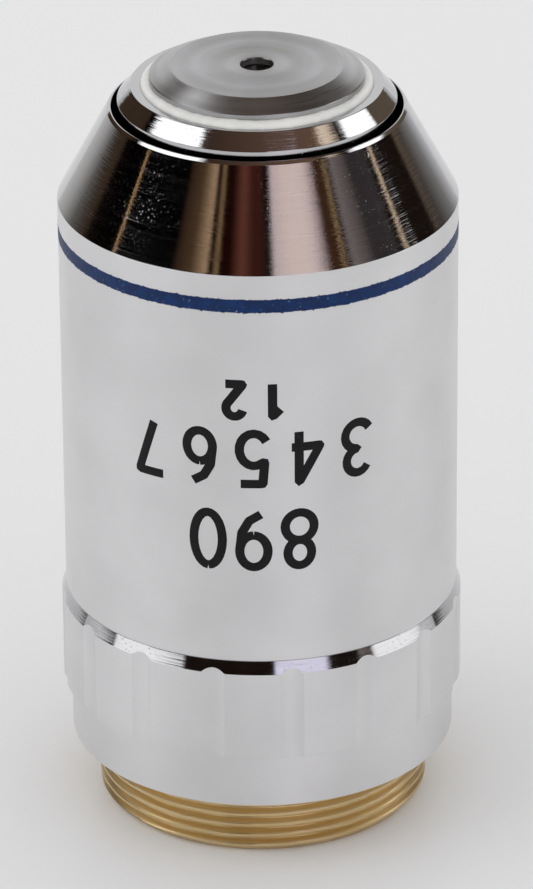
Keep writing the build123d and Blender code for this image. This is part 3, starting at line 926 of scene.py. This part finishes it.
# %% The pen rule
def pen_rule():
    """Sweeps a pen with round ends along flat strokes and lays them on a cylinder."""
    tree, given = new_rule("painted_figures", ("Stroke", "Barrel radius", "Paint height", "Step"))
    spacing = {"Curve": given["Geometry"], "Length": given["Step"]}
    fine = add_node(tree, "GeometryNodeResampleCurve", spacing, mode="LENGTH").outputs[0]
    pen = add_node(tree, MATH, {0: given["Stroke"], 1: 0.5}, operation="MULTIPLY").outputs[0]
    along = add_node(tree, "GeometryNodeSplineParameter").outputs["Length"]
    whole = add_node(tree, "GeometryNodeSplineLength").outputs[0]
    back = add_node(tree, MATH, {0: whole, 1: along}, operation="SUBTRACT").outputs[0]
    near = add_node(tree, MATH, {0: along, 1: back}, operation="MINIMUM").outputs[0]
    short = add_node(tree, MAP_RANGE, {0: near, 1: 0.0, 2: pen, 3: 1.0, 4: 0.0}).outputs[0]
    square = add_node(tree, MATH, {0: short, 1: short}, operation="MULTIPLY").outputs[0]
    left = add_node(tree, MATH, {0: 1.001, 1: square}, operation="SUBTRACT").outputs[0]
    width = add_node(tree, MATH, {0: left}, operation="SQRT").outputs[0]
    shaped = add_node(tree, "GeometryNodeSetCurveRadius", {0: fine, "Radius": width}).outputs[0]
    nib = add_node(
        tree, "GeometryNodeCurvePrimitiveCircle", {"Resolution": 12, "Radius": pen}, mode="RADIUS"
    ).outputs[0]
    swept = add_node(
        tree, "GeometryNodeCurveToMesh", {"Curve": shaped, "Profile Curve": nib, "Fill Caps": True}
    ).outputs[0]
    spot = add_node(tree, "GeometryNodeInputPosition").outputs[0]
    part = add_node(tree, "ShaderNodeSeparateXYZ", {0: spot}).outputs
    angle = add_node(tree, MATH, {0: part[0], 1: given["Barrel radius"]}, operation="DIVIDE").outputs[0]
    sine = add_node(tree, MATH, {0: angle}, operation="SINE").outputs[0]
    cosine = add_node(tree, MATH, {0: angle}, operation="COSINE").outputs[0]
    front = add_node(tree, MATH, {0: cosine, 1: -1.0}, operation="MULTIPLY").outputs[0]
    flatness = add_node(tree, MATH, {0: given["Paint height"], 1: pen}, operation="DIVIDE").outputs[0]
    reach = add_node(
        tree, MATH, {0: part[2], 1: flatness, 2: given["Barrel radius"]}, operation="MULTIPLY_ADD"
    ).outputs[0]
    compass = add_node(tree, "ShaderNodeCombineXYZ", {0: sine, 1: front}).outputs[0]
    end_rule(tree, given, swept, compass, reach, part[1])
    return tree


print("pen rule ready")

# %% Strokes of the figures
def bow(middle, size, start, end, steps=14):
    """Points on an ellipse between two angles in degrees."""
    turns = [math.radians(start + (end - start) * step / steps) for step in range(steps + 1)]
    return [(middle[0] + size[0] * math.cos(turn), middle[1] + size[1] * math.sin(turn)) for turn in turns]


# Each figure stands in a box 1 wide and 2 high, as strokes of points
figures = {
    "0": [bow((0.5, 1), (0.5, 1), 90, 450, 28)],
    "1": [[(0.1, 1.55), (0.55, 2), (0.55, 0)]],
    "2": [bow((0.5, 1.48), (0.48, 0.52), 165, -30) + [(0.02, 0), (1, 0)]],
    "3": [bow((0.47, 1.52), (0.45, 0.48), 150, -90) + bow((0.47, 0.52), (0.51, 0.52), 90, -155)],
    "4": [[(0.78, 0), (0.78, 2), (0, 0.6), (1.05, 0.6)]],
    "5": [[(0.95, 2), (0.15, 2), (0.08, 1.12)] + bow((0.47, 0.64), (0.52, 0.64), 125, -150)],
    "6": [bow((0.5, 0.6), (0.48, 0.6), 90, 450, 28), [(0.03, 0.7), (0.1, 1.3), (0.35, 1.75), (0.75, 2)]],
    "7": [[(0, 2), (1, 2), (0.35, 0)]],
    "8": [bow((0.5, 1.52), (0.41, 0.48), -90, 270, 28), bow((0.5, 0.52), (0.5, 0.52), 90, 450, 28)],
    "9": [bow((0.5, 1.4), (0.48, 0.6), -90, 270, 28), [(0.97, 1.3), (0.9, 0.7), (0.65, 0.25), (0.25, 0)]],
}
# Text, middle in degrees to the right of the front, height of its middle, figure height, pitch
lines = (
    ("12", -1.6, 27.3 * MM, 2.1 * MM, 2.3 * MM),
    ("34567", -2.0, 23.5 * MM, 3.3 * MM, 3.2 * MM),
    ("890", -2.0, 18.1 * MM, 3.5 * MM, 2.75 * MM),
)


def write_lines():
    """One curve object with every stroke of every line, turned to read with the nose down."""
    curve = bpy.data.curves.new("strokes", "CURVE")
    curve.dimensions = "3D"
    for text, degrees, middle, tall, pitch in lines:
        unit = tall / 2
        for place, letter in enumerate(text):
            across = math.radians(degrees) * barrel_radius - (place - (len(text) - 1) / 2) * pitch
            for stroke in figures[letter]:
                spline = curve.splines.new("POLY")
                spline.points.add(len(stroke) - 1)
                for point, (x, y) in zip(spline.points, stroke):
                    point.co = (across - (x - 0.5) * unit, middle - (y - 1) * unit, 0, 1)
    return new_object("strokes", curve)


pen_sizes = {
    "Stroke": 0.56 * MM,
    "Barrel radius": barrel_radius,
    "Paint height": 0.012 * MM,
    "Step": 0.05 * MM,
}
painted_figures = run_rule(write_lines(), pen_rule(), black_paint, pen_sizes)
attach(painted_figures, "housing")
print("figures", len(painted_figures.data.vertices), "vertices")

# %% [markdown]
# ## Floor, light and the room in the chrome
# The objective stands on a pale, faintly glossy table under soft light from all round. The light
# comes from the world, so the table is bright and the shadow is only a soft dusk round the foot.

# %% Floor and world
floor_level = cad_box[0][2]
floor_mesh = bpy.data.meshes.new("table")
floor_size = 3.0
floor_mesh.from_pydata(
    [(x * floor_size, y * floor_size, floor_level) for x, y in ((-1, -1), (1, -1), (1, 1), (-1, 1))],
    [],
    [(0, 1, 2, 3)],
)
floor = new_object("table", floor_mesh)
material, tree, shader, place = new_finish("pale_table", Roughness=0.38, Specular_IOR_Level=0.35)
shader.inputs["Base Color"].default_value = colour("#F1F1F2")
floor_mesh.materials.append(material)

world = bpy.data.worlds.new("studio")
bpy.context.scene.world = world
world.use_nodes = True
tree = world.node_tree
tree.nodes.clear()
pale_room = add_node(tree, "ShaderNodeBackground", {"Color": colour("#EDEDED"), "Strength": 1.0})
add_node(tree, "ShaderNodeOutputWorld", {"Surface": pale_room.outputs[0]})

# One square soft lamp at the left looks at the object's middle
light = bpy.data.lights.new("window_left", "AREA")
light.size = 0.6
light.energy = 1.1
lamp = new_object("window_left", light)
lamp_place = Vector((-0.7, -0.2, 0.8))
lamp_way = (Vector((0, 0, 0.02)) - lamp_place).to_track_quat("-Z", "Y")
lamp.matrix_world = Matrix.Translation(lamp_place) @ lamp_way.to_matrix().to_4x4()
# The chrome mirrors the cards below instead of the lamp
lamp.visible_glossy = False
print("table at", round(floor_level / MM, 2), "mm")

# %% [markdown]
# Chrome looks like what stands round it. In the photograph the polished cone mirrors a dark room
# behind the camera, with a few bright uprights: a door frame, a curtain, a lit wall. Here they are
# cards on a dome round the table. Only reflections see them, so they neither light nor shade.

# %% Reflection cards
dome_middle = Vector((0, 0, 0.038))
dome_radius = 1.2


row_step = 0.5
glow = bpy.data.materials.new("card_glow")
glow.use_nodes = True
glow.node_tree.nodes.clear()
painted = add_node(glow.node_tree, "ShaderNodeAttribute", attribute_name="glow").outputs["Color"]
shining = add_node(glow.node_tree, "ShaderNodeEmission", {"Color": painted}).outputs[0]
add_node(glow.node_tree, "ShaderNodeOutputMaterial", {"Surface": shining})


def card(name, shades, turn, rise, strength=1.0, fray=(0, 0), streaks=0.0, nearer=0.05):
    """A patch of the dome. Turn is in degrees to the right of the camera, rise is its elevation.

    Shades blend from left to right. Every half degree of rise is a row whose ends stick out by up
    to fray degrees and whose light wavers by a share of streaks, as turned chrome breaks an edge.
    """
    draw = np.random.default_rng(sum(name.encode()))
    columns = max(12, round((turn[1] - turn[0]) / 4))
    rows = max(1, round((rise[1] - rise[0]) / row_step))
    share = np.linspace(0, 1, columns + 1)
    tones = np.array([colour(shade) for shade in shades]) * strength
    blend = np.array([np.interp(share, np.linspace(0, 1, len(shades)), tone) for tone in tones.T]).T
    vertices, faces, light = [], [], []
    for row in range(rows):
        ends = np.radians(np.array(turn) + draw.uniform(-1, 1, 2) * fray)
        level = 1 + streaks * draw.uniform(-1, 1)
        for lift in np.radians(np.interp([row, row + 1], [0, rows], rise)):
            for way, tone in zip(np.interp(share, [0, 1], ends), blend):
                outward = (math.sin(way) * math.cos(lift), -math.cos(way) * math.cos(lift), math.sin(lift))
                vertices.append(dome_middle + Vector(outward) * (dome_radius - nearer))
                light.append(tone * level)
        first, across = row * 2 * (columns + 1), columns + 1
        faces += [(c, c + 1, c + across + 1, c + across) for c in range(first, first + columns)]
    mesh = bpy.data.meshes.new(name)
    mesh.from_pydata(vertices, [], faces)
    mesh.color_attributes.new("glow", "FLOAT_COLOR", "POINT").data.foreach_set("color", np.ravel(light))
    mesh.materials.append(glow)
    piece = new_object(name, mesh)
    for ray in ("camera", "diffuse", "shadow", "transmission", "volume_scatter"):
        setattr(piece, "visible_" + ray, False)


card("ceiling_behind", ["#6E635B"], (-180, 180), (34, 88), nearer=0)
card("dark_room", ["#1C1410"], (-150, 150), (2, 85), nearer=0.02)
card("black_door_left", ["#020101"], (-111, -51), (10, 40))
card("black_gap", ["#1E0402"], (-28, -16), (20, 34), nearer=0.03)
card("ceiling_ahead", ["#42332A", "#755A4B"], (-58, 66), (44, 75))
card("bronze_frame", ["#3A281B", "#54402C", "#B89878"], (-49, -30.5), (20, 42), 1, (4, 0.4), 0.8)
card("thin_bronze_frame", ["#8A7050"], (-26.5, -24), (20, 42), 1, (0.6, 0.6), 0.3)
card("red_curtain", ["#2A100A", "#704235", "#421F16", "#42201A"], (-17, 3), (20, 42), 1, (1, 1), 0.15)
card("lit_wall", ["#E2CECF", "#FFE6DC", "#FFE9E0", "#E8D0CE"], (8.5, 39), (20, 42), 1, (0.8, 4), 0.3)
card("lit_floor", ["#EFECFF"], (7, 37), (8, 19), 1.25, (0.5, 1.5), 0.05)
card("lit_lintel", ["#F2EEFF"], (8, 40), (43, 52), 1.2, (0.5, 1.5), 0.1, nearer=0.07)
card("brown_strip", ["#442C1E"], (41, 49), (20, 42), 1, (1, 1), 0.2, nearer=0.04)
card("gold_chain", ["#A88A62"], (50.5, 52), (20, 42), 1, (0.5, 0.5), 0.6)
card("grey_door", ["#8A7F7C", "#4A4241"], (55, 70), (8, 42), 1, (1.5, 1.5), 0.15)
card("scratched_zone", ["#3A3535"], (70, 86), (8, 40), 1, (1, 1), 0.3, nearer=0.04)
card("cream_edge_right", ["#FFE0BE"], (90.5, 92.5), (14, 40), 1, (0.4, 0.4), 0.15)
card("gold_edge_left", ["#E8B880"], (-89, -88), (12, 30), 1, (0.3, 0.3), 0.3, nearer=0.06)
card("window_left_high", ["#FFFFFF"], (-112, -76), (32, 62), 1.9, (2, 0), 0.05, nearer=0.1)
card("window_left_corner", ["#FFFFFF"], (-76, -60), (42, 62), 1.9, (0, 2), 0.05, nearer=0.1)
card("gold_patch", ["#F2DCC4"], (66, 79), (40, 54), 1.1, (4, 4), 0.4, nearer=0.1)
card("window_right_high", ["#FFFFFF"], (89, 118), (24, 46), 1.9, (2, 1), 0.05, nearer=0.1)
card("window_left_low", ["#FFFFFF"], (-88, -44), (2, 12), 1.4, (1, 1), 0.05, nearer=0.1)
card("window_right_low", ["#FFFFFF"], (64, 98), (1, 11), 1.4, (1, 1), 0.05, nearer=0.1)
card("lamp_behind_left", ["#FFFFFF"], (-160, -130), (46, 57), 1.5, (2, 2), 0.1, nearer=0.1)
card("brown_side_left", ["#413327"], (-150, -112), (5, 30), 1, (0, 2), 0.1, nearer=0.06)
card("brown_side_right", ["#675A4B"], (116, 150), (5, 30), 1, (2, 0), 0.1, nearer=0.06)
card("dusk_left", ["#D0D0D0", "#B5B3B1", "#6B6965", "#4A4440"], (-150, -112), (-12, 5), nearer=1.0)
card("dusk_right", ["#2A2422", "#4E4845", "#898784", "#D0D0D4"], (108, 150), (-12, 5), nearer=1.0)
print("reflection cards hung")

# %% [markdown]
# ## Camera
# The photograph looks down on the objective from the front with a long lens, and the camera leans by
# a hair. The lens length follows from how many pixels a known width fills at that distance.

# %% Camera
aim = Vector((0.385, 0, 18.595)) * MM
distance = 381.6 * MM
look_down = math.radians(26.0)
lean = -0.008503
focal_pixels = 6261.6
frame_height_pixels = 889

forward = Vector((0, math.cos(look_down), -math.sin(look_down)))
level_right = Vector((1, 0, 0))
level_up = level_right.cross(forward)
right = level_right * math.cos(lean) + level_up * math.sin(lean)
up = level_up * math.cos(lean) - level_right * math.sin(lean)
camera_data = bpy.data.cameras.new("camera")
camera_data.sensor_width = 36.0
camera_data.lens = focal_pixels / frame_height_pixels * camera_data.sensor_width
camera_data.clip_start = 0.01
camera = new_object("camera", camera_data)
turn = Matrix((right, up, -forward)).transposed().to_4x4()
camera.matrix_world = Matrix.Translation(aim - forward * distance) @ turn
bpy.context.scene.camera = camera
bpy.context.scene.view_settings.view_transform = "Standard"
print("lens", round(camera_data.lens, 1), "mm")
